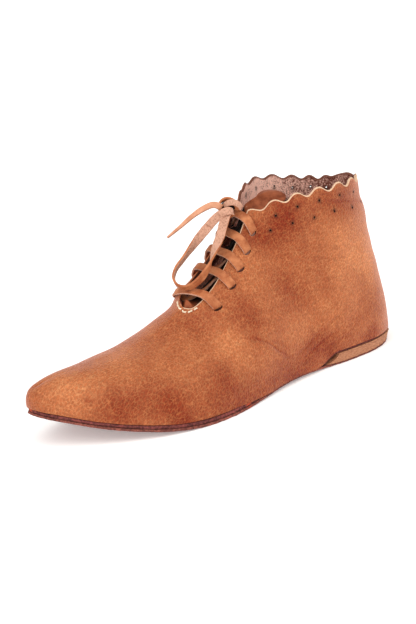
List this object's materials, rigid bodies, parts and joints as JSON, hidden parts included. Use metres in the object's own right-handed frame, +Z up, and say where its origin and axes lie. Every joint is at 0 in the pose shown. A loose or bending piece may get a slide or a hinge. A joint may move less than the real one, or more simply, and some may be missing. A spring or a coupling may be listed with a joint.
{
  "type": "turnshoe",
  "caption": "Ankle-high leather turnshoe for the left foot, with a scalloped collar, a front throat laced with a flat thong, a thin sole and a low heel lift.",
  "frame": {"origin": "on the floor under the middle of the shoe, without its knot, loop and free lace end", "axes": "+X towards the toe, +Y to the wearer's left (the lateral side), +Z up"},
  "size_m": [0.283, 0.0986, 0.129],
  "materials": {
    "upper_leather": "tan-brown grained, waxed",
    "tongue_leather": "smooth brown",
    "sole_leather": "dark, rough edge",
    "lift_leather": "natural, cut edge",
    "thong_leather": "tan thong, nap on the flesh side"
  },
  "bodies": {
    "root": {"upper": "upper_leather", "tongue": "tongue_leather", "turn_sole": "sole_leather", "heel_lift": "lift_leather", "outsole": "sole_leather", "lace_bar_1": "thong_leather", "lace_bar_2": "thong_leather", "lace_bar_3": "thong_leather", "lace_bar_4": "thong_leather", "lace_bar_5": "thong_leather", "lace_knot": "thong_leather", "lace_loop": "thong_leather", "lace_end": "thong_leather"}
  },
  "joints": []
}
